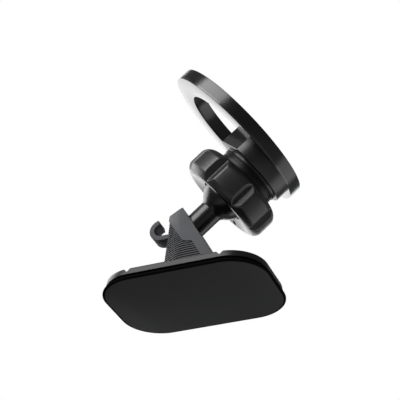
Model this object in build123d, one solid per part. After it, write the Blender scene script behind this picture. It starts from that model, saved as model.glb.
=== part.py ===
from build123d import *
import math
import os

# Magnetic dashboard phone mount, in millimetres. Origin: centre of the adhesive face, +Z away from the
# dashboard, X along the plate's length, the phone ring leaning toward +X.

# ---- base: adhesive sheet, foam, plate -------------------------------------------------------------
SHEET_L = 60.6
SHEET_W = 41.8
SHEET_R = 14.0
SHEET_T = 0.8
FOAM_INSET = 1.5
FOAM_T = 1.4
PLATE_FOOT_INSET = 0.9
PLATE_TOP_INSET = 1.2
PLATE_T = 2.5
PLATE_ROUND = 0.35
FOAM_TOP = SHEET_T + FOAM_T
PLATE_TOP = FOAM_TOP + PLATE_T
GROOVE_X = 16.75
GROOVE_HALF = 1.3
GROOVE_DEPTH = 1.4
FLEX_GAP = 0.3

# ---- bracket ---------------------------------------------------------------------------------------
BRACKET_TOP = 34.5
SLOPE_TOP_X = -2.6
SLOPE_FOOT_X = 13.9
REAR_FOOT_X = -12.2
REAR_TOP_X = -9.3
COVER_HALF = 6.8
COVER_PROUD = 0.35
REAR_HALF = 2.7
SHOULDER_BACK = 6.85
SHOULDER_TURN = 8.0
RIB_PITCH = 0.9
RIB_SLOT = 0.42
RIB_DEPTH = 0.3
RIB_COUNT = 28
RIB_START = 5.5
SPLIT = [(-15.0, 32.5), (-9.6, 32.4), (-2.1, 20.3), (1.3, 19.5), (9.3, 4.7), (9.3, 0.0)]
NOTCH_X = (-1.2, 0.9)
NOTCH_Z = (18.5, 19.3)
NOTCH_FLOOR = 5.2
SCREW_XS = (-6.5, 3.5)

# ---- cable clip ------------------------------------------------------------------------------------
CLIP_X = -12.6
CLIP_Z = 29.3
CLIP_OUT = 4.3
CLIP_IN = 2.45
CLIP_W = 5.7
CLIP_TONGUE_X = -8.9
CLIP_TIP_ANGLE = 102.0

# ---- ball and stem ---------------------------------------------------------------------------------
LEAN = 50.0
BALL_AT = (11.74, 0.0, 39.82)
BALL_R = 8.5
STEM_R = 4.45
STEM_ROOT = -22.0
STEM_FOOT_R = 5.05
STEM_FOOT_H = -7.9

# ---- socket and knob, heights along the leaning axis from the ball's centre --------------------------
FIT = 0.05
LINER_IN = BALL_R + FIT
LINER_OUT = 9.0
CUP_IN = LINER_OUT + FIT
CUP_OUT = 9.5
SOCKET_R = CUP_OUT + FIT
TIP_H = -1.5
THREAD_R = 12.4
NECK_R = 11.0
KNOB_LOW = -3.67
KNOB_HIGH = 8.15
KNOB_R = 18.1
KNOB_CROWN_R = 17.9
KNOB_VALLEY_R = 15.2
KNOB_LOBES = 8
KNOB_LOBE_ANGLE = 28.1
KNOB_LOBE_HALF = 15.0
KNOB_SHOULDER = 0.8
KNOB_VALLEY_TURN = 0.5
KNOB_LOW_ROUND = 3.5
KNOB_HIGH_ROUND = 3.3
KNOB_BORE = THREAD_R + FIT
DISH_R = 14.0
DISH_LOW_H = -2.35
LIP_R = 9.0
RECESS_R = 0.9
RECESS_AT = 12.7
RECESS_ANGLE = 84.0
COLLAR_R = 11.8
COLLAR_GROOVE_R = 11.3
WASHER_R = 12.0
HUB_LOW = 12.3

# ---- hub and ring ----------------------------------------------------------------------------------
HUB_R = 15.2
HUB_SHIFT = 2.2
HUB_TAPER_FROM = (0.35, 15.09)
HUB_TAPER_TO = (12.05, 10.1)
HUB_TAPER_TURN = 1.4
RING_SHIFT = 17.68
RING_BACK_H = 18.0
RING_BACK_T = 0.8
RING_FRONT_H = 23.05
RING_EDGE = 0.15
RING_OUT = 30.2
RING_IN = 21.15
FACE_OUT = 29.3
FACE_IN = 21.8
FACE_T = 0.85
MAGNET_COUNT = 18
MAGNET_TOP_H = RING_FRONT_H - FACE_T - 0.75

HEAD = Plane(
    origin=BALL_AT,
    x_dir=(-math.cos(math.radians(LEAN)), 0, math.sin(math.radians(LEAN))),
    z_dir=(math.sin(math.radians(LEAN)), 0, math.cos(math.radians(LEAN))),
)


def slab(length, width, radius, low, height):
    """Rounded rectangle slab from z = low."""
    outline = Plane.XY.offset(low) * RectangleRounded(length, width, radius)
    return extrude(outline, height)


def box_between(x0, x1, y0, y1, z0, z1):
    """Axis aligned box from its six limits."""
    size = Box(x1 - x0, y1 - y0, z1 - z0, align=(Align.MIN, Align.MIN, Align.MIN))
    return Pos(x0, y0, z0) * size


def rod(radius, low, high, x=0.0, y=0.0):
    """Cylinder along local z between two heights."""
    return Pos(x, y, low) * Cylinder(radius, high - low, align=(Align.CENTER, Align.CENTER, Align.MIN))


def turned(points):
    """Solid of revolution about local z from a closed (radius, height) outline."""
    outline = make_face(Polyline(*[(r, h) for r, h in points], close=True))
    return revolve(Plane.XZ * outline, Axis.Z, 360)


def extruded_profile(points, half_width):
    """Outline in the X-Z plane, extruded both ways along Y."""
    outline = make_face(Polyline(*points, close=True))
    return extrude(Plane.XZ * outline, half_width, both=True)


# ---- base ------------------------------------------------------------------------------------------
def whole_sheet():
    sheet = slab(SHEET_L, SHEET_W, SHEET_R, 0, SHEET_T)
    return chamfer(sheet.edges().group_by(Axis.Z)[-1], 0.25)


def whole_foam():
    return slab(
        SHEET_L - 2 * FOAM_INSET, SHEET_W - 2 * FOAM_INSET, SHEET_R - FOAM_INSET, SHEET_T, FOAM_T
    )


def whole_plate():
    foot = Plane.XY.offset(FOAM_TOP) * RectangleRounded(
        SHEET_L - 2 * PLATE_FOOT_INSET, SHEET_W - 2 * PLATE_FOOT_INSET, SHEET_R - PLATE_FOOT_INSET
    )
    top = Plane.XY.offset(PLATE_TOP) * RectangleRounded(
        SHEET_L - 2 * PLATE_TOP_INSET, SHEET_W - 2 * PLATE_TOP_INSET, SHEET_R - PLATE_TOP_INSET
    )
    plate = loft([foot, top], ruled=True)
    plate = chamfer(plate.edges().group_by(Axis.Z)[-1], PLATE_ROUND)
    for side in (-1, 1):
        at = side * GROOVE_X
        notch = [
            (at - GROOVE_HALF, PLATE_TOP + 0.01),
            (at + GROOVE_HALF, PLATE_TOP + 0.01),
            (at, PLATE_TOP - GROOVE_DEPTH),
        ]
        plate -= extruded_profile(notch, SHEET_W)
    return plate


def segments(layer):
    """Cut a base layer into left flap, centre and right flap."""
    inner = GROOVE_X - FLEX_GAP / 2
    outer = GROOVE_X + FLEX_GAP / 2
    left = layer & box_between(-50, -outer, -50, 50, -1, 10)
    centre = layer & box_between(-inner, inner, -50, 50, -1, 10)
    right = layer & box_between(outer, 50, -50, 50, -1, 10)
    return left, centre, right


def bracket_screw(x):
    """Countersunk screw from under the plate into the bracket."""
    head = turned([(0, FOAM_TOP + 0.1), (2.0, FOAM_TOP + 0.1), (0.95, FOAM_TOP + 1.3), (0, FOAM_TOP + 1.3)])
    head = head - rod(0.6, FOAM_TOP, FOAM_TOP + 0.7)
    shank = rod(0.95, FOAM_TOP + 1.2, 11.0)
    return Pos(x, 0, 0) * (head + shank)


def screw_room(x):
    """Space a bracket screw needs in plate and bracket."""
    head = turned(
        [
            (0, FOAM_TOP - 0.01),
            (2.2, FOAM_TOP - 0.01),
            (2.1, FOAM_TOP + 0.15),
            (1.0, FOAM_TOP + 1.45),
            (0, FOAM_TOP + 1.45),
        ]
    )
    return Pos(x, 0, 0) * (head + rod(1.0, FOAM_TOP, 11.3))


# ---- bracket ---------------------------------------------------------------------------------------
def bracket_outline(rear_x, inset):
    """Plan outline of the bracket at one height, tapering to the rear, before the slope cuts its front."""
    half = [
        (rear_x + inset, REAR_HALF - 0.57 * inset),
        (rear_x + SHOULDER_BACK + 0.27 * inset, COVER_HALF - inset),
        (20.0, COVER_HALF - inset),
    ]
    far_side = [(x, -y) for x, y in reversed(half)]
    return half + far_side


def bracket_block(inset):
    """Bracket as one block: tapered column cut by the slope."""
    foot = Plane.XY.offset(PLATE_TOP) * make_face(
        Polyline(*bracket_outline(REAR_FOOT_X, inset), close=True)
    )
    top = Plane.XY.offset(BRACKET_TOP) * make_face(
        Polyline(*bracket_outline(REAR_TOP_X, inset), close=True)
    )
    column = loft([foot, top], ruled=True)
    shoulders = column.edges().filter_by(
        lambda e: e.center().X < 0 and abs(e.tangent_at(0.5).Z) > 0.9 and abs(e.center().Y) > REAR_HALF + 1
    )
    column = fillet(shoulders, SHOULDER_TURN)
    side_view = [
        (-20.0, PLATE_TOP),
        (SLOPE_FOOT_X - 0.55, PLATE_TOP),
        (SLOPE_TOP_X, BRACKET_TOP + 0.0),
        (-20.0, BRACKET_TOP),
    ]
    return column & extruded_profile(side_view, 20)


def above_split():
    """Region in front of and above the stepped parting line of the cover."""
    return extruded_profile([(SPLIT[0][0], 60.0)] + SPLIT + [(40.0, 0.0), (40.0, 60.0)], 20)


def grip_slots():
    """Horizontal slots all round the ribbed body."""
    slots = []
    for number in range(RIB_COUNT):
        low = RIB_START + number * RIB_PITCH
        slots.append(box_between(-20, 20, -10, 10, low, low + RIB_SLOT))
    return slots


def stem_room():
    """Bore for the stem's root."""
    return HEAD * rod(STEM_R + FIT, STEM_ROOT - 0.1, -8.0)


def clip_slot():
    """Slot for the clip's tongue in the rear of the bracket."""
    low = CLIP_Z - CLIP_OUT
    high = CLIP_Z - CLIP_IN
    half = CLIP_W / 2 + FIT
    return box_between(-15, CLIP_TONGUE_X + FIT, -half, half, low - FIT, high + FIT)


def wedge_cover():
    cover = bracket_block(0.0) & above_split()
    edges = cover.edges().filter_by(lambda e: e.center().X > 0.0 and abs(e.center().Y) > COVER_HALF - 0.05)
    slope_edges = edges.filter_by(lambda e: abs(e.tangent_at(0.5).Z) > 0.7 and e.length > 20)
    if slope_edges:
        cover = chamfer(slope_edges, 0.35)
    cover -= stem_room()
    cover -= HEAD * (Pos(0, 0, -18.5) * Rot(90, 0, 0) * Cylinder(1.05, 11.2))
    return cover


def wedge_body():
    ribbed = bracket_block(COVER_PROUD)
    core = bracket_block(COVER_PROUD + RIB_DEPTH)
    slots = Part() + grip_slots()
    slotted = ribbed - (slots - core)
    body = slotted - above_split()
    for x in SCREW_XS:
        body -= screw_room(x)
    for low, high in ((-COVER_HALF - 1, -NOTCH_FLOOR), (NOTCH_FLOOR, COVER_HALF + 1)):
        body -= box_between(NOTCH_X[0], NOTCH_X[1], low, high, NOTCH_Z[0], NOTCH_Z[1])
    body -= stem_room()
    body -= clip_slot()
    return body


def clip_mouth():
    """Space between the clip's lip and the bracket."""
    turn = math.radians(CLIP_TIP_ANGLE)
    reach = CLIP_OUT + 1
    tip = (CLIP_X + reach * math.cos(turn), CLIP_Z + reach * math.sin(turn))
    side_view = [(CLIP_X, CLIP_Z), tip, (0, CLIP_Z + reach), (0, CLIP_Z)]
    return extruded_profile(side_view, CLIP_W)


def cable_clip():
    """C shaped hook, open toward the bracket, with a tongue in the bracket's rear."""
    curl = Cylinder(CLIP_OUT, CLIP_W) - Cylinder(CLIP_IN, CLIP_W + 1)
    curl = Pos(CLIP_X, 0, CLIP_Z) * Rot(90, 0, 0) * curl
    curl -= box_between(CLIP_X, 0, -10, 10, CLIP_Z - CLIP_OUT - 1, CLIP_Z)
    curl -= clip_mouth()
    arm = box_between(
        CLIP_X, CLIP_TONGUE_X, -CLIP_W / 2, CLIP_W / 2, CLIP_Z - CLIP_OUT, CLIP_Z - CLIP_IN
    )
    return curl + arm


def stem_pin():
    return HEAD * (Pos(0, 0, -18.5) * Rot(90, 0, 0) * Cylinder(1.0, 11.0))


def ball_stem():
    ball = Sphere(BALL_R)
    stem = rod(STEM_R, STEM_ROOT, -5.0)
    foot = turned([(0, STEM_FOOT_H), (STEM_R, STEM_FOOT_H), (STEM_FOOT_R, -6.9), (STEM_FOOT_R, -6.2), (0, -6.2)])
    part = HEAD * (ball + stem + foot)
    return part - HEAD * (Pos(0, 0, -18.5) * Rot(90, 0, 0) * Cylinder(1.05, 11.2))


# ---- ball joint ------------------------------------------------------------------------------------
def shell_cap(inner, outer, rim_h):
    """Spherical cup between two radii, above a height."""
    cup = Sphere(outer) - Sphere(inner)
    return HEAD * (cup & rod(outer + 1, rim_h, outer + 1))


def socket_collet():
    body = turned(
        [
            (0, TIP_H),
            (9.75, TIP_H),
            (10.7, 2.0),
            (11.2, 2.9),
            (THREAD_R - 0.45, 2.9),
            (THREAD_R, 3.35),
            (THREAD_R, 4.0),
            (THREAD_R - 0.5, 4.3),
            (THREAD_R - 0.5, 4.7),
            (THREAD_R, 5.0),
            (THREAD_R, 5.6),
            (THREAD_R - 0.5, 5.9),
            (THREAD_R - 0.5, 6.3),
            (THREAD_R, 6.6),
            (THREAD_R, 8.4),
            (NECK_R, 8.4),
            (NECK_R, 11.6),
            (0, 11.6),
        ]
    )
    body -= Sphere(LINER_IN)
    body -= Sphere(SOCKET_R) & rod(12, 0.9, 12)
    for turn in (45, 135):
        body -= Rot(0, 0, turn) * box_between(-15, 15, -0.6, 0.6, TIP_H - 1, 5.2)
    body -= rod(1.65, 9, 12)
    return HEAD * body


def clamp_ring():
    return HEAD * turned([(9.95, TIP_H + 0.05), (12.3, TIP_H + 0.05), (12.3, 2.4), (10.95, 2.4)])


def knob_point(radius, angle):
    turn = math.radians(angle)
    return radius * math.cos(turn), radius * math.sin(turn)


def knob_outline():
    """Eight wide lobes with slightly crowned tops, parted by V grooves."""
    pitch = 360.0 / KNOB_LOBES
    sides = []
    for number in range(KNOB_LOBES):
        centre = KNOB_LOBE_ANGLE + pitch * number
        start = knob_point(KNOB_R, centre - KNOB_LOBE_HALF)
        end = knob_point(KNOB_R, centre + KNOB_LOBE_HALF)
        valley = knob_point(KNOB_VALLEY_R, centre + pitch / 2)
        following = knob_point(KNOB_R, centre + pitch - KNOB_LOBE_HALF)
        sides.append(ThreePointArc(start, knob_point(KNOB_CROWN_R, centre), end))
        sides.append(Line(end, valley))
        sides.append(Line(valley, following))
    outline = make_face(sides)
    shoulders = [v for v in outline.vertices() if Vector(v.X, v.Y).length > KNOB_R - 0.5]
    outline = fillet(shoulders, KNOB_SHOULDER)
    valleys = [v for v in outline.vertices() if Vector(v.X, v.Y).length < KNOB_VALLEY_R + 0.1]
    return fillet(valleys, KNOB_VALLEY_TURN)


def knob_envelope():
    """Turned blank with both rims rounded."""
    blank = rod(KNOB_R + 0.1, KNOB_LOW, KNOB_HIGH)
    blank = fillet(blank.edges().group_by(Axis.Z)[0], KNOB_LOW_ROUND)
    return fillet(blank.edges().group_by(Axis.Z)[-1], KNOB_HIGH_ROUND)


def lock_knob():
    knob = extrude(Plane.XY.offset(KNOB_LOW) * knob_outline(), KNOB_HIGH - KNOB_LOW)
    knob = knob & knob_envelope()
    knob -= turned(
        [(0, KNOB_LOW - 0.1), (DISH_R + 0.1, KNOB_LOW - 0.1), (DISH_R, KNOB_LOW), (LIP_R + 0.2, DISH_LOW_H), (0, DISH_LOW_H)]
    )
    knob -= rod(LIP_R, KNOB_LOW - 1, KNOB_HIGH + 1)
    knob -= rod(KNOB_BORE, TIP_H, KNOB_HIGH + 1)
    for number in range(4):
        angle = math.radians(RECESS_ANGLE + 90 * number)
        knob -= rod(
            RECESS_R, KNOB_LOW - 1, -2.0, RECESS_AT * math.cos(angle), RECESS_AT * math.sin(angle)
        )
    return HEAD * knob


def thread_collar():
    disc = rod(COLLAR_R, 8.5, 10.3) + rod(COLLAR_GROOVE_R, 10.3, 10.9)
    disc = disc - rod(NECK_R, 8, 11)
    return HEAD * disc


def stop_washer():
    return HEAD * (rod(WASHER_R, 10.95, 11.5) - rod(NECK_R, 10, 12))


# ---- hub and ring ----------------------------------------------------------------------------------
def hub_block(low, high, inset):
    """Hub body: a disc whose side toward the ring's centre tapers in two flats to a blunt end."""
    disc = rod(HUB_R - inset, low, high, x=HUB_SHIFT)
    x0, y0 = HUB_TAPER_FROM
    x1, y1 = HUB_TAPER_TO
    slope = (y1 - y0) / (x1 - x0)
    wide = y0 - inset + slope * (-16 - x0)
    end = x1 - inset
    narrow = y0 - inset + slope * (end - x0)
    points = [(-16, wide), (end, narrow), (end, -narrow), (-16, -wide)]
    outline = make_face(Polyline(*points, close=True))
    outline = fillet(outline.vertices().sort_by(Axis.X)[-2:], HUB_TAPER_TURN)
    return disc & extrude(Plane.XY.offset(low) * outline, high - low)


def hub_lens(low, high, inset):
    """Hub outline where it lies in the ring's hole."""
    return hub_block(low, high, inset) & rod(RING_IN - 0.05 - inset, low, high, x=RING_SHIFT)


def hub():
    body = hub_block(HUB_LOW, RING_BACK_H, 0.0)
    body = chamfer(body.edges().group_by(Axis.Z)[0], 0.5)
    body += rod(NECK_R + 1.0, 11.6, HUB_LOW + 0.5)
    body += hub_lens(RING_BACK_H - 0.5, 20.8, 0.0)
    body -= rod(1.9, 11, 16)
    body -= rod(2.95, 14.5, 21)
    return HEAD * body


def socket_screw():
    screw = rod(1.6, 9.7, 14.6) + rod(2.85, 14.5, 17.0)
    recess = Pos(0, 0, 15.8) * extrude(RegularPolygon(1.3, 6), 1.3)
    return HEAD * (screw - recess)


def hub_cap():
    return HEAD * hub_lens(20.8, 21.7, 0.15)


def ring_between(inner, outer, low, high):
    return rod(outer, low, high, x=RING_SHIFT) - rod(inner, low - 1, high + 1, x=RING_SHIFT)


def ring_back():
    back = ring_between(RING_IN, RING_OUT - 0.05, RING_BACK_H, RING_BACK_H + RING_BACK_T)
    outer_edge = back.edges().group_by(Axis.Z)[0].sort_by(SortBy.RADIUS)[-1]
    return HEAD * chamfer(outer_edge, RING_EDGE)


def ring_housing():
    """Ring shell, open toward its back, with a shallow seat in front for the soft face."""
    shell = ring_between(RING_IN, RING_OUT, RING_BACK_H + RING_BACK_T, RING_FRONT_H)
    shell = chamfer(shell.edges().group_by(Axis.Z)[-1], RING_EDGE)
    shell -= ring_between(RING_IN + 1.3, RING_OUT - 1.2, RING_BACK_H, RING_FRONT_H - FACE_T - 0.7)
    shell -= ring_between(FACE_IN, FACE_OUT, RING_FRONT_H - FACE_T, RING_FRONT_H + 1)
    return HEAD * shell


def magnet_yoke():
    return HEAD * ring_between(RING_IN + 1.5, RING_OUT - 1.4, RING_BACK_H + 0.85, RING_BACK_H + 1.45)


def magnet_array():
    band = ring_between(RING_IN + 1.7, RING_OUT - 1.6, RING_BACK_H + 1.5, MAGNET_TOP_H)
    gaps = Part()
    for number in range(MAGNET_COUNT):
        bar = box_between(0, 40, -0.3, 0.3, 10, 30)
        gaps += Pos(RING_SHIFT, 0, 0) * Rot(0, 0, 360.0 * number / MAGNET_COUNT) * bar
    return HEAD * (band - gaps)


def ring_face():
    face = ring_between(FACE_IN, FACE_OUT, RING_FRONT_H - FACE_T, RING_FRONT_H)
    return HEAD * face


def build_all():
    parts = {}
    for layer_name, layer in (("sheet", whole_sheet()), ("foam", whole_foam()), ("plate", whole_plate())):
        left, centre, right = segments(layer)
        if layer_name == "plate":
            for x in SCREW_XS:
                centre -= screw_room(x)
        parts[layer_name + "_left"] = left
        parts[layer_name + "_centre"] = centre
        parts[layer_name + "_right"] = right
    parts["wedge_body"] = wedge_body()
    parts["wedge_cover"] = wedge_cover()
    parts["cable_clip"] = cable_clip()
    parts["bracket_screws"] = Compound(children=[bracket_screw(x) for x in SCREW_XS])
    parts["ball_stem"] = ball_stem()
    parts["stem_pin"] = stem_pin()
    parts["ball_liner"] = shell_cap(LINER_IN, LINER_OUT, 5.0)
    parts["pressure_cup"] = shell_cap(CUP_IN, CUP_OUT, 5.3)
    parts["socket_collet"] = socket_collet()
    parts["clamp_ring"] = clamp_ring()
    parts["lock_knob"] = lock_knob()
    parts["thread_collar"] = thread_collar()
    parts["stop_washer"] = stop_washer()
    parts["hub"] = hub()
    parts["socket_screw"] = socket_screw()
    parts["hub_cap"] = hub_cap()
    parts["ring_back"] = ring_back()
    parts["ring_housing"] = ring_housing()
    parts["magnet_yoke"] = magnet_yoke()
    parts["magnet_array"] = magnet_array()
    parts["ring_face"] = ring_face()
    return parts


os.makedirs("parts", exist_ok=True)
for name, shape in build_all().items():
    export_step(shape, "parts/" + name + ".step")
    print(name, len(shape.solids()), "solid(s), volume", round(shape.volume, 1))
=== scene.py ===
import math

import bmesh
import bpy
from mathutils import Matrix, Vector


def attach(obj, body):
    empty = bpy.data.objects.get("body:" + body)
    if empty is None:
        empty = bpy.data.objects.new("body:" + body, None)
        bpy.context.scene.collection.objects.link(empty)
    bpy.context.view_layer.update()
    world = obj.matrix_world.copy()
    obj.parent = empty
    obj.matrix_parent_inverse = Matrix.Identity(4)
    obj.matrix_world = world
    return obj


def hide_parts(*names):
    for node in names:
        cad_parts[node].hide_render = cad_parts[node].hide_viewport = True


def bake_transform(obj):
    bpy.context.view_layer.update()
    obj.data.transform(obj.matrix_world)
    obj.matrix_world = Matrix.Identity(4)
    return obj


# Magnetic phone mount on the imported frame. Shape numbers are millimetres, and MM turns them into metres.
# Angles are written in degrees, apart from POLE_GAP.
MM = 0.001
SHARP_ANGLE = 34.0
LATHE_POINTS = 192

# ---- base ------------------------------------------------------------------------------------------
# Length, width and corner radius of the sheet. The other layers are inset from this outline.
SHEET = (60.6, 41.8, 14.0)
SHEET_TOP = 0.8
SHEET_ROUND = 0.3
SHEET_EDGE = 0.9
# (height, inset) of the bevel under the sheet.
SHEET_BEVEL = [(0.0, SHEET_EDGE), (0.06, SHEET_EDGE - 0.25), (0.22, 0.08), (0.3, 0.0)]
# The faces whose normal is lower than this are the flat underside.
LOOKS_DOWN = -0.98
FOAM_TOP = 2.2
FOAM_INSET = 1.5
FOAM_BULGE = 0.05
FOAM_BULGE_HEIGHTS = (1.2, 1.8)
PLATE_TOP = 4.7
PLATE_FOOT_INSET = 0.9
PLATE_FOOT_ROUND = 0.2
PLATE_TOP_INSET = 1.2
PLATE_TOP_ROUND = 0.35
GROOVE_X = 16.75
GROOVE_HALF = 1.3
GROOVE_DEPTH = 1.4
# The V bar that cuts a groove goes on above the plate by this share of its size, and ends beyond the edges.
GROOVE_SPARE = 0.5
GROOVE_REACH = 30.0

# ---- bracket ---------------------------------------------------------------------------------------
BRACKET_TOP = 34.5
SLOPE = ((13.9, 3.7), (-2.6, 34.5))
REAR_FOOT_X = -12.2
REAR_TOP_X = -9.3
REAR_HALF = 2.7
SHOULDER_BACK = 6.85
SHOULDER_TURN = 8.0
COVER_HALF = 6.8
# A millimetre of inset moves the two ends of the tapered side by these shares.
CORNER_SHIFT = 0.57
SHOULDER_SHIFT = 0.73
COLUMN_FRONT_X = 20.0
RIB_PITCH = 0.9
RIB_SLOT = 0.42
RIB_DEPTH = 0.35
RIB_SLANT = 0.06
RIB_COUNT = 28
RIB_START = 5.5
RIB_TOP_MARGIN = 0.3
COVER_PROUD = 0.35
COVER_ROUND = 0.18
# Line from the rear to the foot that parts cover and ribs, and how far the cutter goes beyond the bracket.
SPLIT = [(-15.0, 32.5), (-9.6, 32.4), (-2.1, 20.3), (1.3, 19.5), (9.3, 4.7), (9.3, 0.0)]
SPLIT_FRONT = 40.0
SPLIT_HIGH = 60.0
SPLIT_HALF = 20.0
CLIP_AT = (-12.6, 29.3)
CLIP_OUT = 4.3
CLIP_IN = 2.45
CLIP_HALF = 2.85
CLIP_FOOT_ANGLE = 270.0
CLIP_TIP_ANGLE = 102.0
CLIP_STEPS = 60
CLIP_ROOT_X = -8.9
CLIP_ROUND = 0.2

# ---- ball and stem: heights and radii along and round the leaning axis, from the ball's centre -----
LEAN = math.radians(50.0)
BALL_AT = Vector((11.74, 0.0, 39.82))
BALL_R = 8.5
BALL_STEPS = 48
# Radians left open at the ball's pole, so that its last row is not a single point.
POLE_GAP = 0.002
STEM_R = 4.45
STEM_ROOT = -22.0
STEM_STRAIGHT = -8.0
STEM_CORE_R = 0.01
# (radius, height) where the stem widens into the ball.
STEM_FLARE = [(4.55, -7.6), (4.8, -7.25), (5.05, -6.95), (5.15, -6.76)]

# ---- knob ------------------------------------------------------------------------------------------
KNOB_R = 18.1
KNOB_ENVELOPE_R = KNOB_R + 0.1
KNOB_CROWN_R = 17.9
KNOB_VALLEY_R = 16.1
KNOB_LOBES = 8
KNOB_LOBE_ANGLE = 28.1
KNOB_LOBE_HALF = 15.0
KNOB_LOBE_BLEND = 0.6
KNOB_GROOVE_SLOPE = 0.74
KNOB_GROOVE_SOFT = 0.012
KNOB_LOW = -3.67
KNOB_HIGH = 8.15
KNOB_LOW_ROUND = 4.0
KNOB_HIGH_ROUND = 4.2
KNOB_RIM_BLEND = 0.3
KNOB_RIM_STEPS = 14
KNOB_WALL_STEPS = 6
KNOB_POINTS = 720
KNOB_SHARP_ANGLE = 40.0
# (radius, height) of the bore from the top down, then of the dished face outward.
KNOB_BORE = [(13.1, KNOB_HIGH), (12.6, KNOB_HIGH), (12.45, KNOB_HIGH - 0.15), (12.45, -1.5), (9.0, -1.5)]
KNOB_FACE = [(9.0, -2.25), (9.1, -2.33), (9.3, -2.36), (13.6, -3.55), (13.95, -3.64), (14.25, KNOB_LOW)]
# Faces that point against the leaning axis by more than this have the face's own material.
KNOB_FACE_TILT = -0.85
RECESS_COUNT = 4
RECESS_ANGLE = 84.0
RECESS_AT = 12.7
RECESS_R = 0.9
RECESS_DEPTH = 2.4
RECESS_CENTRE = -3.3

# ---- collar and washer -----------------------------------------------------------------------------
COLLAR_IN = 10.8
COLLAR_R = 11.8
COLLAR_GROOVE_R = 11.3
COLLAR_LOW = 8.5
COLLAR_STEP = 10.3
COLLAR_HIGH = 10.9
COLLAR_ROUND = 0.25
WASHER_R = 12.0
WASHER_LOW = 10.95
WASHER_HIGH = 11.5
WASHER_ROUND = 0.2

# ---- hub and ring ----------------------------------------------------------------------------------
RING_SHIFT = 17.68
RING_BACK = 18.0
RING_SEAM = 18.8
RING_FRONT = 23.05
RING_OUT = 30.2
RING_IN = 21.15
RING_BACK_INSET = 0.05
RING_BACK_ROUND = 0.15
RING_ROUND = 0.18
RING_LIP_ROUND = 0.08
RING_POINTS = 288
FACE_OUT = 29.3
FACE_IN = 21.8
FACE_LOW = 22.2
FACE_GAP = 0.02
FACE_ROUND = 0.1
HUB_R = 15.2
HUB_SHIFT = 2.2
HUB_LOW = 12.3
HUB_TOP = RING_BACK - 0.01
HUB_POINTS = 360
HUB_NECK_R = 12.0
HUB_NECK_LOW = 11.6
HUB_NECK_HIGH = HUB_LOW - 0.01
# Direction of each flat from that of the blunt end, and half the angle that a flat spans on the disc.
HUB_FLAT_ANGLE = 67.0
HUB_FLAT_HALF_ANGLE = 30.0
HUB_FLAT_BLEND = 0.12
HUB_END = 9.85
HUB_END_BLEND = 0.7
# Smallest cosine at which a direction is tried against a flat.
HUB_FACING = 0.2
HUB_RING_GAP = 0.05
# (rise, inset) of the hub's rounded foot, and (height, inset) of its tongue inside the ring.
HUB_FOOT = [(0.0, 0.75), (0.02, 0.5), (0.12, 0.25), (0.3, 0.08), (0.5, 0.0)]
TONGUE = [(HUB_TOP, 0.0), (20.8, 0.0), (20.8, 0.15), (21.5, 0.15), (21.65, 0.22), (21.7, 0.4)]

# ---- studio: places and lights in metres, the floor's radius and the lens in millimetres ------------
LIGHT_TARGET = Vector((0.003, 0.0, 0.045))
# Angle round the leaning axis, lean along it, distance, width, height and radiance of each softbox.
SOFTBOXES = {
    "key": (57, 0.1, 0.6, 0.52, 0.5, 6.4),
    "rim": (222, 0.1, 0.6, 0.46, 0.9, 1.25),
    "backdrop_glow": (309, -0.15, 0.7, 0.75, 0.8, 1.6),
    "ball_glow": (-4, -0.4, 0.6, 0.4, 0.4, 3.6),
}
FILL_COLOUR = (0.95, 0.97, 1.0, 1)
FILL_STRENGTH = 0.15
FLOOR_R = 2500.0
FLOOR_Z = -0.6
FLOOR_GLOW = 0.55
CAMERA_AT = Vector((0.1389, -0.3348, -0.2026))
CAMERA_RIGHT = Vector((0.9291, 0.3694, 0.0169))
CAMERA_BACK = Vector((0.3153, -0.7676, -0.5581))
CAMERA_SENSOR = 36.0
CAMERA_LENS = 108.0
CAMERA_FAR = 20.0

AXIS = Vector((math.sin(LEAN), 0.0, math.cos(LEAN)))
UP_SLOPE = Vector((-math.cos(LEAN), 0.0, math.sin(LEAN)))
TOWARD = Vector((0.0, -1.0, 0.0))


def frame_matrix(x_axis, y_axis, z_axis, origin):
    """Local millimetres to row-frame metres."""
    columns = [x_axis * MM, y_axis * MM, z_axis * MM, origin * MM]
    rows = [[column[i] for column in columns] for i in range(3)]
    return Matrix(rows + [[0, 0, 0, 1]])


ROW = frame_matrix(Vector((1, 0, 0)), Vector((0, 1, 0)), Vector((0, 0, 1)), Vector((0, 0, 0)))
HEAD = frame_matrix(UP_SLOPE, TOWARD, AXIS, BALL_AT)
RING = frame_matrix(UP_SLOPE, TOWARD, AXIS, BALL_AT + UP_SLOPE * RING_SHIFT)
SIDE = frame_matrix(Vector((1, 0, 0)), Vector((0, 0, 1)), Vector((0, -1, 0)), Vector((0, 0, 0)))


# ---- mesh helpers ----------------------------------------------------------------------------------
def new_object(name, bm, place, material, sharp=SHARP_ANGLE):
    """Turns a bmesh in local millimetres into a smooth shaded object with sharp edges by angle."""
    bm.transform(place)
    bmesh.ops.recalc_face_normals(bm, faces=bm.faces)
    mesh = bpy.data.meshes.new(name)
    bm.to_mesh(mesh)
    bm.free()
    obj = bpy.data.objects.new(name, mesh)
    bpy.context.scene.collection.objects.link(obj)
    finish_surface(obj, material, sharp)
    return obj


def finish_surface(obj, material, sharp=SHARP_ANGLE):
    """One material, smooth shading, and sharp edges where faces meet at more than an angle."""
    mesh = obj.data
    mesh.materials.clear()
    mesh.materials.append(material)
    mesh.polygons.foreach_set("use_smooth", [True] * len(mesh.polygons))
    mesh.set_sharp_from_angle(angle=math.radians(sharp))
    mesh.update()


def apply_modifiers(obj):
    """Replaces the object's mesh with its evaluated one."""
    bpy.context.view_layer.update()
    graph = bpy.context.evaluated_depsgraph_get()
    mesh = bpy.data.meshes.new_from_object(obj.evaluated_get(graph))
    obj.modifiers.clear()
    obj.data = mesh


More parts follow.
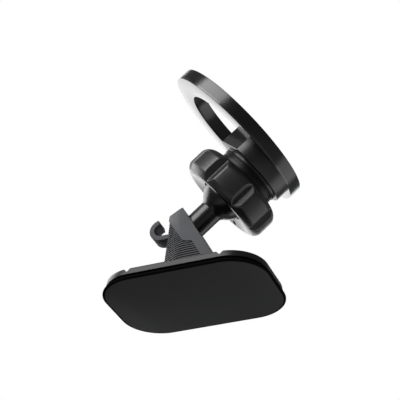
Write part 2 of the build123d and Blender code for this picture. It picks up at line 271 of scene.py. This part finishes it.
def boolean(obj, cutter, operation):
    """Cuts or keeps part of a solid with another one, which is then removed."""
    step = obj.modifiers.new("cut", "BOOLEAN")
    step.operation = operation
    step.object = cutter
    step.solver = "EXACT"
    apply_modifiers(obj)
    bpy.data.objects.remove(cutter)


def bevel(obj, width, segments, angle):
    """Rounds the edges that turn by more than an angle, by a width in millimetres."""
    step = obj.modifiers.new("round", "BEVEL")
    step.width = width * MM
    step.segments = segments
    step.limit_method = "ANGLE"
    step.angle_limit = math.radians(angle)
    step.use_clamp_overlap = True
    apply_modifiers(obj)


def loft_bmesh(loops, wrap=False):
    """Skin over loops of equal length. Either both ends are capped, or the last loop joins the first."""
    bm = bmesh.new()
    rows = [[bm.verts.new(point) for point in loop] for loop in loops]
    count = len(rows[0])
    pairs = list(zip(rows, rows[1:]))
    if wrap:
        pairs.append((rows[-1], rows[0]))
    for low, high in pairs:
        for i in range(count):
            j = (i + 1) % count
            bm.faces.new((low[i], low[j], high[j], high[i]))
    if not wrap:
        bm.faces.new(list(reversed(rows[0])))
        bm.faces.new(rows[-1])
    return bm


def circle_loop(radius, height, count):
    steps = [2 * math.pi * i / count for i in range(count)]
    return [(radius * math.cos(t), radius * math.sin(t), height) for t in steps]


def lathe(name, profile, place, material, wrap=False, count=LATHE_POINTS, sharp=SHARP_ANGLE):
    """Turned piece from (radius, height) points."""
    loops = [circle_loop(radius, height, count) for radius, height in profile]
    return new_object(name, loft_bmesh(loops, wrap), place, material, sharp)


def round_corner(corner, before, after, radius, steps=4):
    """Points of a small arc that replaces one corner of a profile."""
    corner, before, after = Vector(corner), Vector(before), Vector(after)
    to_before = (before - corner).normalized()
    to_after = (after - corner).normalized()
    half = to_before.angle(to_after) / 2
    reach = radius / math.tan(half)
    centre = corner + (to_before + to_after).normalized() * (radius / math.sin(half))
    start = corner + to_before * reach - centre
    end = corner + to_after * reach - centre
    whole = start.angle(end)
    points = []
    for i in range(steps + 1):
        t = i / steps
        mix = (start * math.sin((1 - t) * whole) + end * math.sin(t * whole)) / math.sin(whole)
        points.append(tuple(centre + mix))
    return points


def rounded_profile(points):
    """Closed profile from (radius, height, corner radius) points."""
    out = []
    count = len(points)
    for i, (r, h, corner) in enumerate(points):
        if corner <= 0:
            out.append((r, h))
            continue
        before = points[i - 1][:2]
        after = points[(i + 1) % count][:2]
        out.extend(round_corner((r, h), before, after, corner))
    return out


def soft_min(a, b, blend):
    """Smaller of two numbers, with the change from one to the other rounded."""
    share = max(0.0, min(1.0, 0.5 + 0.5 * (b - a) / blend))
    return b * (1 - share) + a * share - blend * share * (1 - share)


def rounded_rectangle(length, width, radius, corner_steps=16):
    """Counter-clockwise outline of a rounded rectangle."""
    points = []
    for quarter in range(4):
        centre_x = (length / 2 - radius) * (1 if quarter in (0, 3) else -1)
        centre_y = (width / 2 - radius) * (1 if quarter in (0, 1) else -1)
        for i in range(corner_steps + 1):
            t = math.pi / 2 * (quarter + i / corner_steps)
            points.append((centre_x + radius * math.cos(t), centre_y + radius * math.sin(t)))
    return points


# ---- materials -------------------------------------------------------------------------------------
def plastic(
    name, colour, roughness, grain=0.00004, grain_scale=2600.0, vary=0.06, tint=0.15, coat=0.0, shine=0.5
):
    """Moulded plastic or rubber: fine spark grain, slow roughness change and a faint colour drift."""
    material = bpy.data.materials.new(name)
    material.use_nodes = True
    nodes = material.node_tree.nodes
    links = material.node_tree.links
    shader = nodes["Principled BSDF"]
    place = nodes.new("ShaderNodeTexCoord")
    slow = nodes.new("ShaderNodeTexNoise")
    slow.inputs["Scale"].default_value = 90.0
    slow.inputs["Detail"].default_value = 4.0
    links.new(place.outputs["Object"], slow.inputs["Vector"])
    fine = nodes.new("ShaderNodeTexNoise")
    fine.inputs["Scale"].default_value = grain_scale
    fine.inputs["Detail"].default_value = 2.0
    links.new(place.outputs["Object"], fine.inputs["Vector"])
    shade = nodes.new("ShaderNodeValToRGB")
    darker = [c * (1 - tint) for c in colour]
    lighter = [c * (1 + tint) for c in colour]
    shade.color_ramp.elements[0].position = 0.3
    shade.color_ramp.elements[1].position = 0.7
    shade.color_ramp.elements[0].color = (*darker, 1)
    shade.color_ramp.elements[1].color = (*lighter, 1)
    links.new(slow.outputs["Fac"], shade.inputs["Fac"])
    links.new(shade.outputs["Color"], shader.inputs["Base Color"])
    gloss = nodes.new("ShaderNodeMapRange")
    gloss.inputs["To Min"].default_value = roughness - vary / 2
    gloss.inputs["To Max"].default_value = roughness + vary / 2
    links.new(slow.outputs["Fac"], gloss.inputs["Value"])
    links.new(gloss.outputs["Result"], shader.inputs["Roughness"])
    bump = nodes.new("ShaderNodeBump")
    bump.inputs["Distance"].default_value = grain
    bump.inputs["Strength"].default_value = 0.25
    links.new(fine.outputs["Fac"], bump.inputs["Height"])
    links.new(bump.outputs["Normal"], shader.inputs["Normal"])
    shader.inputs["IOR"].default_value = 1.5
    shader.inputs["Specular IOR Level"].default_value = shine
    shader.inputs["Coat Weight"].default_value = coat
    shader.inputs["Coat Roughness"].default_value = 0.08
    return material


def math_step(material, operation, source, value=None):
    """Adds one sum on a node's output and returns its result."""
    step = material.node_tree.nodes.new("ShaderNodeMath")
    step.operation = operation
    if value is not None:
        step.inputs[1].default_value = value
    material.node_tree.links.new(source, step.inputs[0])
    return step.outputs["Value"]


def paint_slot_shade(material):
    """Painted shade: near-black colour in the slots between the ribs, by height, where the slots lie in
    shade.
    """
    nodes = material.node_tree.nodes
    links = material.node_tree.links
    shader = nodes["Principled BSDF"]
    colour = shader.inputs["Base Color"].links[0].from_socket
    place = nodes.new("ShaderNodeTexCoord")
    split = nodes.new("ShaderNodeSeparateXYZ")
    links.new(place.outputs["Object"], split.inputs["Vector"])
    above = math_step(material, "SUBTRACT", split.outputs["Z"], RIB_START * MM)
    ribs = math_step(material, "DIVIDE", above, RIB_PITCH * MM)
    into_rib = math_step(material, "FRACT", ribs)
    slot_shade_mask = math_step(material, "LESS_THAN", into_rib, RIB_SLOT / RIB_PITCH)
    # In colour mode, inputs 6 and 7 of a Mix node are its two colours, and output 2 is the mixed one.
    # The second colour of this mix is the painted shade of the slots.
    mix = nodes.new("ShaderNodeMix")
    mix.data_type = "RGBA"
    mix.inputs[7].default_value = (0.006, 0.006, 0.0065, 1)
    links.new(slot_shade_mask, mix.inputs[0])
    links.new(colour, mix.inputs[6])
    links.new(mix.outputs[2], shader.inputs["Base Color"])
    return material


def metal(name, colour, roughness):
    """Turned or plated metal with faint brushing."""
    material = plastic(name, colour, roughness, grain=0.00002, grain_scale=1800.0)
    material.node_tree.nodes["Principled BSDF"].inputs["Metallic"].default_value = 1.0
    return material


SHEET_SKIN = plastic("adhesive sheet", (0.007, 0.007, 0.0073), 0.55, grain=0.00002, vary=0.04, shine=0.25)
FOAM_SKIN = plastic("black foam", (0.0015, 0.0015, 0.0015), 0.9, grain=0.0002, grain_scale=1500.0, shine=0.04)
PLATE_SKIN = plastic("plate plastic", (0.007, 0.007, 0.0075), 0.34, shine=0.24)
# The ribbed plastic carries painted shade in its slots.
RIB_SKIN = paint_slot_shade(plastic("ribbed plastic", (0.052, 0.053, 0.058), 0.6, shine=0.2))
COVER_SKIN = plastic("cover plastic", (0.062, 0.063, 0.069), 0.6, shine=0.2)
STEM_SKIN = plastic("stem plastic", (0.003, 0.003, 0.003), 0.26, vary=0.04)
KNOB_SKIN = plastic("knob plastic", (0.010, 0.010, 0.010), 0.36, vary=0.05)
DISH_SKIN = plastic("knob face plastic", (0.006, 0.006, 0.0062), 0.22, vary=0.04)
SOCKET_SKIN = plastic("socket plastic", (0.003, 0.003, 0.003), 0.4, shine=0.2)
HUB_SKIN = plastic("hub plastic", (0.004, 0.004, 0.0043), 0.3, vary=0.04)
RING_SKIN = plastic("ring plastic", (0.0025, 0.0026, 0.0028), 0.22, vary=0.04)
RING_BACK_SKIN = plastic("ring back plastic", (0.006, 0.006, 0.007), 0.2, vary=0.03, coat=0.3)
FACE_SKIN = plastic("silicone face", (0.009, 0.009, 0.0095), 0.5, grain=0.00003)
LINER_SKIN = plastic("natural nylon", (0.5, 0.5, 0.47), 0.45)
STEEL_SKIN = metal("zinc plated steel", (0.5, 0.5, 0.51), 0.3)
MAGNET_SKIN = metal("nickel plated magnet", (0.6, 0.6, 0.58), 0.18)


# ---- base ------------------------------------------------------------------------------------------
def layer_loops(levels):
    """Loops of the base outline at (height, inset) levels."""
    length, width, radius = SHEET
    loops = []
    for height, inset in levels:
        outline = rounded_rectangle(length - 2 * inset, width - 2 * inset, radius - inset)
        loops.append([(x, y, height) for x, y in outline])
    return loops


def arc_levels(height, inset, radius, upper, steps=4):
    """Levels of a rounded edge that ends at a flat face at height."""
    levels = []
    for i in range(steps + 1):
        t = math.pi / 2 * i / steps
        drop = radius * (1 - math.sin(t))
        turn = radius * (1 - math.cos(t))
        levels.append((height - drop if upper else height + drop, inset + turn))
    return levels if upper else list(reversed(levels))


def split_in_halves(bm, cuts):
    """Left and right halves of a base layer, with extra edge rows where it flexes."""
    halves = []
    for side in (-1, 1):
        half = bm.copy()
        for at in cuts:
            everything = half.verts[:] + half.edges[:] + half.faces[:]
            bmesh.ops.bisect_plane(half, geom=everything, plane_co=(side * at, 0, 0), plane_no=(1, 0, 0))
        everything = half.verts[:] + half.edges[:] + half.faces[:]
        cut = bmesh.ops.bisect_plane(
            half, geom=everything, plane_co=(0, 0, 0), plane_no=(-side, 0, 0), clear_outer=True
        )
        rim = [item for item in cut["geom_cut"] if isinstance(item, bmesh.types.BMEdge)]
        bmesh.ops.holes_fill(half, edges=rim)
        halves.append(half)
    bm.free()
    return halves


def groove_cutter():
    """Two V bars across the plate's top."""
    bm = bmesh.new()
    for side in (-1, 1):
        at = side * GROOVE_X
        half = GROOVE_HALF * (1 + GROOVE_SPARE)
        top = PLATE_TOP + GROOVE_DEPTH * GROOVE_SPARE
        corners = [(at - half, top), (at, PLATE_TOP - GROOVE_DEPTH), (at + half, top)]
        near = [bm.verts.new((x, -GROOVE_REACH, z)) for x, z in corners]
        far = [bm.verts.new((x, GROOVE_REACH, z)) for x, z in corners]
        bm.faces.new(near)
        bm.faces.new(list(reversed(far)))
        for i in range(3):
            j = (i + 1) % 3
            bm.faces.new((near[j], near[i], far[i], far[j]))
    return new_object("groove cutter", bm, ROW, PLATE_SKIN)


def paint_edge_shade(piece, material):
    """Second material on every face that does not look straight down: painted shade, the near-black foam
    colour on the sheet's sides and on its ledge under the plate, darker than the sheet's own face.
    """
    piece.data.materials.append(material)
    for face in piece.data.polygons:
        if face.normal.z > LOOKS_DOWN:
            face.material_index = 1


def flex_pieces(name, obj_bm, material, edge=None):
    """Both halves of a layer, with extra edge rows at the V groove."""
    cuts = [GROOVE_X + GROOVE_HALF * k / 2 for k in (-2, -1, 0, 1, 2)]
    for half, side, flap in zip(split_in_halves(obj_bm, cuts), (-1, 1), ("left", "right")):
        piece = new_object(name + "_" + flap + "_half", half, ROW, material)
        # The edge material, when given, goes on as painted shade.
        if edge:
            paint_edge_shade(piece, edge)
        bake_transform(piece)
        nodes = [name + "_" + flap]
        if side > 0:
            nodes.append(name + "_centre")
        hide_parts(*nodes)


def build_base():
    sheet_levels = SHEET_BEVEL + arc_levels(SHEET_TOP, 0.0, SHEET_ROUND, upper=True)
    # The sheet's sides and ledge take the black foam material as painted shade for the gap under the plate.
    flex_pieces("sheet", loft_bmesh(layer_loops(sheet_levels)), SHEET_SKIN, edge=FOAM_SKIN)
    foam_levels = [(SHEET_TOP, FOAM_INSET)]
    foam_levels += [(height, FOAM_INSET - FOAM_BULGE) for height in FOAM_BULGE_HEIGHTS]
    foam_levels += [(FOAM_TOP, FOAM_INSET)]
    flex_pieces("foam", loft_bmesh(layer_loops(foam_levels)), FOAM_SKIN)
    plate_levels = arc_levels(FOAM_TOP, PLATE_FOOT_INSET, PLATE_FOOT_ROUND, upper=False)
    plate_levels += arc_levels(PLATE_TOP, PLATE_TOP_INSET, PLATE_TOP_ROUND, upper=True)
    blank = new_object("plate blank", loft_bmesh(layer_loops(plate_levels)), ROW, PLATE_SKIN)
    boolean(blank, groove_cutter(), "DIFFERENCE")
    bm = bmesh.new()
    bm.from_mesh(blank.data)
    bm.transform(ROW.inverted())
    bpy.data.objects.remove(blank)
    flex_pieces("plate", bm, PLATE_SKIN)


# ---- bracket ---------------------------------------------------------------------------------------
def bracket_plan(height, inset):
    """Plan outline of the tapered column at one height."""
    share = (height - PLATE_TOP) / (BRACKET_TOP - PLATE_TOP)
    rear = REAR_FOOT_X + (REAR_TOP_X - REAR_FOOT_X) * share + inset
    corner = (rear, REAR_HALF - CORNER_SHIFT * inset)
    shoulder = (rear + SHOULDER_BACK - SHOULDER_SHIFT * inset, COVER_HALF - inset)
    front = (COLUMN_FRONT_X, COVER_HALF - inset)
    half = [corner] + round_corner(shoulder, corner, front, SHOULDER_TURN, steps=8) + [front]
    return half + [(x, -y) for x, y in reversed(half)]


def column(levels):
    """Tapered column through (height, inset) levels."""
    return loft_bmesh([[(x, y, h) for x, y in bracket_plan(h, inset)] for h, inset in levels])


def cut_slope(bm, inset):
    """Cuts the column along the bracket's slope, moved inward by an inset."""
    (foot_x, foot_z), (top_x, top_z) = SLOPE
    normal = Vector((top_z - foot_z, 0, foot_x - top_x)).normalized()
    at = Vector((foot_x, 0, foot_z)) - normal * inset
    everything = bm.verts[:] + bm.edges[:] + bm.faces[:]
    cut = bmesh.ops.bisect_plane(bm, geom=everything, plane_co=at, plane_no=normal, clear_outer=True)
    rim = [item for item in cut["geom_cut"] if isinstance(item, bmesh.types.BMEdge)]
    bmesh.ops.holes_fill(bm, edges=rim)
    return bm


def build_ribbed_body():
    levels = [(PLATE_TOP, COVER_PROUD), (RIB_START, COVER_PROUD)]
    for number in range(RIB_COUNT):
        low = RIB_START + number * RIB_PITCH
        levels.append((low + RIB_SLANT, COVER_PROUD + RIB_DEPTH))
        levels.append((low + RIB_SLOT - RIB_SLANT, COVER_PROUD + RIB_DEPTH))
        levels.append((low + RIB_SLOT, COVER_PROUD))
        if number < RIB_COUNT - 1:
            levels.append((low + RIB_PITCH, COVER_PROUD))
    levels.append((BRACKET_TOP - RIB_TOP_MARGIN, COVER_PROUD))
    body = new_object("ribbed_column", cut_slope(column(levels), COVER_PROUD), ROW, RIB_SKIN, sharp=28.0)
    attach(body, "base")
    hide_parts("wedge_body")


def side_prism(name, outline, half_width, material):
    """Outline of (x, z) points extruded both ways along Y."""
    near = [(x, z, half_width) for x, z in outline]
    far = [(x, z, -half_width) for x, z in outline]
    return new_object(name, loft_bmesh([far, near]), SIDE, material)


def build_cover():
    whole = cut_slope(column([(PLATE_TOP, 0.0), (BRACKET_TOP, 0.0)]), 0.0)
    block = new_object("cover_panel", whole, ROW, COVER_SKIN)
    region = [(SPLIT[0][0], SPLIT_HIGH)] + SPLIT + [(SPLIT_FRONT, 0.0), (SPLIT_FRONT, SPLIT_HIGH)]
    boolean(block, side_prism("cover region", region, SPLIT_HALF, COVER_SKIN), "INTERSECT")
    bevel(block, COVER_ROUND, segments=2, angle=20.0)
    finish_surface(block, COVER_SKIN, sharp=18.0)
    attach(block, "base")
    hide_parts("wedge_cover")


def build_clip():
    """C shaped hook with a tongue in the bracket's rear, open toward the bracket."""
    cx, cz = CLIP_AT
    outer = []
    inner = []
    for i in range(CLIP_STEPS + 1):
        t = math.radians(CLIP_FOOT_ANGLE - (CLIP_FOOT_ANGLE - CLIP_TIP_ANGLE) * i / CLIP_STEPS)
        outer.append((cx + CLIP_OUT * math.cos(t), cz + CLIP_OUT * math.sin(t)))
        inner.append((cx + CLIP_IN * math.cos(t), cz + CLIP_IN * math.sin(t)))
    tongue = [(CLIP_ROOT_X, cz - CLIP_IN), (CLIP_ROOT_X, cz - CLIP_OUT)]
    outline = outer + list(reversed(inner)) + tongue
    clip = side_prism("cable_hook", outline, CLIP_HALF, COVER_SKIN)
    bevel(clip, CLIP_ROUND, segments=3, angle=40.0)
    finish_surface(clip, COVER_SKIN)
    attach(clip, "base")
    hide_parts("cable_clip")


# ---- ball, knob, collars ---------------------------------------------------------------------------
def build_ball_stem():
    profile = [(STEM_CORE_R, STEM_ROOT), (STEM_R, STEM_ROOT), (STEM_R, STEM_STRAIGHT)] + STEM_FLARE
    start = math.asin(STEM_FLARE[-1][0] / BALL_R)
    for i in range(1, BALL_STEPS + 1):
        t = start + (math.pi - start - POLE_GAP) * i / BALL_STEPS
        profile.append((BALL_R * math.sin(t), -BALL_R * math.cos(t)))
    piece = lathe("ball_and_stem", profile, HEAD, STEM_SKIN, sharp=50.0)
    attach(piece, "base")
    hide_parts("ball_stem")


def rim_loss(into, radius):
    """What a rounded rim takes off the knob's radius at a distance into its rounding."""
    if into <= 0:
        return 0.0
    return radius - math.sqrt(max(0.0, radius**2 - into**2))


def knob_radius(angle, height):
    """Outer radius of the knob: wide crowned lobes between V grooves, both rims rounded."""
    pitch = 360.0 / KNOB_LOBES
    from_lobe = (angle - KNOB_LOBE_ANGLE + pitch / 2) % pitch - pitch / 2
    crown = KNOB_CROWN_R + (KNOB_R - KNOB_CROWN_R) * (from_lobe / KNOB_LOBE_HALF) ** 2
    from_groove = math.radians(pitch / 2 - abs(from_lobe))
    rise = KNOB_GROOVE_SLOPE * math.hypot(math.sin(from_groove), KNOB_GROOVE_SOFT)
    wall = KNOB_VALLEY_R / (math.cos(from_groove) - rise)
    lobed = soft_min(crown, wall, KNOB_LOBE_BLEND)
    envelope = KNOB_ENVELOPE_R - rim_loss(KNOB_LOW + KNOB_LOW_ROUND - height, KNOB_LOW_ROUND)
    envelope -= rim_loss(height - KNOB_HIGH + KNOB_HIGH_ROUND, KNOB_HIGH_ROUND)
    return soft_min(lobed, envelope, KNOB_RIM_BLEND)


def knob_heights():
    """Heights of the knob's outer rows, closer together in the two rounded rims."""
    turns = [math.pi / 2 * i / KNOB_RIM_STEPS for i in range(KNOB_RIM_STEPS + 1)]
    heights = [KNOB_LOW + KNOB_LOW_ROUND * (1 - math.cos(turn)) for turn in turns[1:]]
    start = KNOB_LOW + KNOB_LOW_ROUND
    length = KNOB_HIGH - KNOB_HIGH_ROUND - start
    heights += [start + length * i / KNOB_WALL_STEPS for i in range(1, KNOB_WALL_STEPS)]
    heights += [KNOB_HIGH - KNOB_HIGH_ROUND * (1 - math.sin(turn)) for turn in turns[:-1]]
    return heights


def knob_loop(height):
    loop = []
    for i in range(KNOB_POINTS):
        angle = 360.0 * i / KNOB_POINTS
        t = math.radians(angle)
        r = knob_radius(angle, height)
        loop.append((r * math.cos(t), r * math.sin(t), height))
    return loop


def recess_cutter():
    """Small round recesses in the knob's face."""
    bm = bmesh.new()
    for number in range(RECESS_COUNT):
        t = math.radians(RECESS_ANGLE + 360.0 / RECESS_COUNT * number)
        place = Matrix.Translation((RECESS_AT * math.cos(t), RECESS_AT * math.sin(t), RECESS_CENTRE))
        bmesh.ops.create_cone(
            bm,
            cap_ends=True,
            segments=32,
            radius1=RECESS_R,
            radius2=RECESS_R,
            depth=RECESS_DEPTH,
            matrix=place,
        )
    return new_object("recess cutter", bm, HEAD, KNOB_SKIN)


def build_knob():
    loops = [knob_loop(height) for height in knob_heights()]
    loops += [circle_loop(radius, height, KNOB_POINTS) for radius, height in KNOB_BORE + KNOB_FACE]
    knob = new_object("lobed_knob", loft_bmesh(loops, wrap=True), HEAD, KNOB_SKIN, sharp=KNOB_SHARP_ANGLE)
    boolean(knob, recess_cutter(), "DIFFERENCE")
    finish_surface(knob, KNOB_SKIN, sharp=KNOB_SHARP_ANGLE)
    knob.data.materials.append(DISH_SKIN)
    for face in knob.data.polygons:
        if face.normal.dot(AXIS) < KNOB_FACE_TILT:
            face.material_index = 1
    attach(knob, "knob")
    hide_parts("lock_knob")


def build_collars():
    collar = rounded_profile(
        [
            (COLLAR_IN, COLLAR_LOW, 0),
            (COLLAR_R, COLLAR_LOW, COLLAR_ROUND),
            (COLLAR_R, COLLAR_STEP, COLLAR_ROUND),
            (COLLAR_GROOVE_R, COLLAR_STEP, 0),
            (COLLAR_GROOVE_R, COLLAR_HIGH, 0),
            (COLLAR_IN, COLLAR_HIGH, 0),
        ]
    )
    piece = lathe("threaded_collar", collar, HEAD, SOCKET_SKIN, wrap=True)
    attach(piece, "head")
    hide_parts("thread_collar")
    washer = rounded_profile(
        [
            (COLLAR_IN, WASHER_LOW, 0),
            (WASHER_R, WASHER_LOW, WASHER_ROUND),
            (WASHER_R, WASHER_HIGH, WASHER_ROUND),
            (COLLAR_IN, WASHER_HIGH, 0),
        ]
    )
    piece = lathe("thin_washer", washer, HEAD, SOCKET_SKIN, wrap=True)
    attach(piece, "head")
    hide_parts("stop_washer")


# ---- hub and ring ----------------------------------------------------------------------------------
def hub_radius(t, in_ring):
    """Hub outline from its own centre: a disc with two flats tapering to a blunt end."""
    r = HUB_R
    flat = HUB_R * math.cos(math.radians(HUB_FLAT_HALF_ANGLE))
    for side in (-1, 1):
        turn = math.cos(t - side * math.radians(HUB_FLAT_ANGLE))
        if turn > HUB_FACING:
            r = soft_min(r, flat / turn, HUB_FLAT_BLEND)
    if math.cos(t) > HUB_FACING:
        r = soft_min(r, HUB_END / math.cos(t), HUB_END_BLEND)
    if in_ring:
        room = RING_IN - HUB_RING_GAP
        away = HUB_SHIFT - RING_SHIFT
        half_b = away * math.cos(t)
        r = min(r, -half_b + math.sqrt(half_b**2 - away**2 + room**2))
    return r


def hub_loop(height, inset, in_ring):
    loop = []
    for i in range(HUB_POINTS):
        t = 2 * math.pi * i / HUB_POINTS
        r = hub_radius(t, in_ring) - inset
        loop.append((HUB_SHIFT + r * math.cos(t), r * math.sin(t), height))
    return loop


def build_hub():
    loops = [circle_loop(HUB_NECK_R, height, HUB_POINTS) for height in (HUB_NECK_LOW, HUB_NECK_HIGH)]
    loops += [hub_loop(HUB_LOW + rise, inset, False) for rise, inset in HUB_FOOT]
    loops += [hub_loop(HUB_TOP, 0.0, False)]
    piece = new_object("offset_hub", loft_bmesh(loops), HEAD, HUB_SKIN)
    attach(piece, "head")
    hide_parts("hub")
    loops = [hub_loop(height, inset, True) for height, inset in TONGUE]
    piece = new_object("hub_tongue_cap", loft_bmesh(loops), HEAD, HUB_SKIN)
    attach(piece, "head")
    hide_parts("hub_cap")


def build_ring():
    back_out = RING_OUT - RING_BACK_INSET
    back = rounded_profile(
        [
            (RING_IN, RING_BACK, RING_BACK_ROUND),
            (back_out, RING_BACK, RING_BACK_ROUND),
            (back_out, RING_SEAM, 0),
            (RING_IN, RING_SEAM, 0),
        ]
    )
    piece = lathe("ring_back_plate", back, RING, RING_BACK_SKIN, wrap=True, count=RING_POINTS)
    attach(piece, "head")
    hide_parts("ring_back")
    shell = rounded_profile(
        [
            (RING_IN, RING_SEAM, 0),
            (RING_OUT, RING_SEAM, 0),
            (RING_OUT, RING_FRONT, RING_ROUND),
            (FACE_OUT, RING_FRONT, RING_LIP_ROUND),
            (FACE_OUT, FACE_LOW, 0),
            (FACE_IN, FACE_LOW, 0),
            (FACE_IN, RING_FRONT, RING_LIP_ROUND),
            (RING_IN, RING_FRONT, RING_ROUND),
        ]
    )
    piece = lathe("ring_shell", shell, RING, RING_SKIN, wrap=True, count=RING_POINTS)
    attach(piece, "head")
    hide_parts("ring_housing")
    face_in = FACE_IN + FACE_GAP
    face_out = FACE_OUT - FACE_GAP
    face = rounded_profile(
        [
            (face_in, FACE_LOW, 0),
            (face_out, FACE_LOW, 0),
            (face_out, RING_FRONT, FACE_ROUND),
            (face_in, RING_FRONT, FACE_ROUND),
        ]
    )
    piece = lathe("ring_soft_face", face, RING, FACE_SKIN, wrap=True, count=RING_POINTS)
    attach(piece, "head")
    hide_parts("ring_face")


def dress_inner_nodes(nodes):
    """Materials of the CAD nodes that show as they are."""
    skins = {
        "bracket_screws": STEEL_SKIN,
        "stem_pin": STEEL_SKIN,
        "socket_screw": STEEL_SKIN,
        "ball_liner": LINER_SKIN,
        "pressure_cup": LINER_SKIN,
        "socket_collet": SOCKET_SKIN,
        "clamp_ring": SOCKET_SKIN,
        "magnet_yoke": STEEL_SKIN,
        "magnet_array": MAGNET_SKIN,
    }
    for name, skin in skins.items():
        nodes[name].data.materials.clear()
        nodes[name].data.materials.append(skin)


# ---- studio ----------------------------------------------------------------------------------------
def softbox(name, direction, distance, width, height, radiance):
    """Area light that faces the object from a direction."""
    light = bpy.data.lights.new(name, "AREA")
    light.shape = "RECTANGLE"
    light.size = width
    light.size_y = height
    light.energy = radiance * math.pi * width * height
    obj = bpy.data.objects.new(name, light)
    bpy.context.scene.collection.objects.link(obj)
    toward = direction.normalized()
    side = AXIS.cross(toward).normalized()
    up = toward.cross(side)
    turn = Matrix((side, up, toward)).transposed()
    obj.matrix_world = Matrix.Translation(LIGHT_TARGET + toward * distance) @ turn.to_4x4()
    obj.visible_camera = False


def around(angle, lean):
    """Direction round the leaning axis, 0 up the slope and 90 toward the viewer's side."""
    t = math.radians(angle)
    return UP_SLOPE * math.cos(t) + TOWARD * math.sin(t) + AXIS * lean


def build_lights():
    for name, (angle, lean, distance, width, height, radiance) in SOFTBOXES.items():
        softbox(name, around(angle, lean), distance, width, height, radiance)


def build_world():
    """White to the camera, and a weak fill light for the object."""
    world = bpy.data.worlds.new("studio")
    bpy.context.scene.world = world
    world.use_nodes = True
    nodes = world.node_tree.nodes
    links = world.node_tree.links
    seen = nodes["Background"]
    seen.inputs["Color"].default_value = (1.0, 1.0, 1.0, 1)
    seen.inputs["Strength"].default_value = 1.0
    fill = nodes.new("ShaderNodeBackground")
    fill.inputs["Color"].default_value = FILL_COLOUR
    fill.inputs["Strength"].default_value = FILL_STRENGTH
    path = nodes.new("ShaderNodeLightPath")
    mix = nodes.new("ShaderNodeMixShader")
    links.new(path.outputs["Is Camera Ray"], mix.inputs["Fac"])
    links.new(fill.outputs["Background"], mix.inputs[1])
    links.new(seen.outputs["Background"], mix.inputs[2])
    links.new(mix.outputs["Shader"], nodes["World Output"].inputs["Surface"])


def floor_skin():
    """Pale floor with a glow that only the camera sees, so that the glow does not light the object."""
    material = plastic("pale floor", (0.8, 0.8, 0.8), 0.7, grain=0.0, vary=0.02, tint=0.02)
    nodes = material.node_tree.nodes
    shader = nodes["Principled BSDF"]
    shader.inputs["Emission Color"].default_value = (1.0, 1.0, 1.0, 1)
    path = nodes.new("ShaderNodeLightPath")
    glow = math_step(material, "MULTIPLY", path.outputs["Is Camera Ray"], FLOOR_GLOW)
    material.node_tree.links.new(glow, shader.inputs["Emission Strength"])
    return material


def build_floor():
    bm = bmesh.new()
    bmesh.ops.create_circle(bm, cap_ends=True, segments=96, radius=FLOOR_R)
    floor = new_object("studio_floor", bm, ROW, floor_skin())
    floor.location.z = FLOOR_Z


def build_camera():
    data = bpy.data.cameras.new("camera")
    data.sensor_width = CAMERA_SENSOR
    data.lens = CAMERA_LENS
    data.clip_end = CAMERA_FAR
    camera = bpy.data.objects.new("camera", data)
    bpy.context.scene.collection.objects.link(camera)
    back = CAMERA_BACK.normalized()
    up = back.cross(CAMERA_RIGHT.normalized()).normalized()
    right = up.cross(back)
    turn = Matrix((right, up, back)).transposed()
    camera.matrix_world = Matrix.Translation(CAMERA_AT) @ turn.to_4x4()
    bpy.context.scene.camera = camera


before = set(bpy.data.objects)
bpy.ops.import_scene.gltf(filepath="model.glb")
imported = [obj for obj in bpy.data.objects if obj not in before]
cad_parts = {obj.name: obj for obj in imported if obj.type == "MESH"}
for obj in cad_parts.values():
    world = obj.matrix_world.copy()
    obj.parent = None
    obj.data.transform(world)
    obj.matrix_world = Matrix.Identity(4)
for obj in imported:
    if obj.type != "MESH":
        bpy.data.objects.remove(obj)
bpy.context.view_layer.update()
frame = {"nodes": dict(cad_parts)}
bpy.context.scene.view_settings.view_transform = "Standard"
build_base()
build_ribbed_body()
build_cover()
build_clip()
build_ball_stem()
build_knob()
build_collars()
build_hub()
build_ring()
dress_inner_nodes(frame["nodes"])
build_lights()
build_world()
build_floor()
build_camera()
bpy.context.view_layer.update()
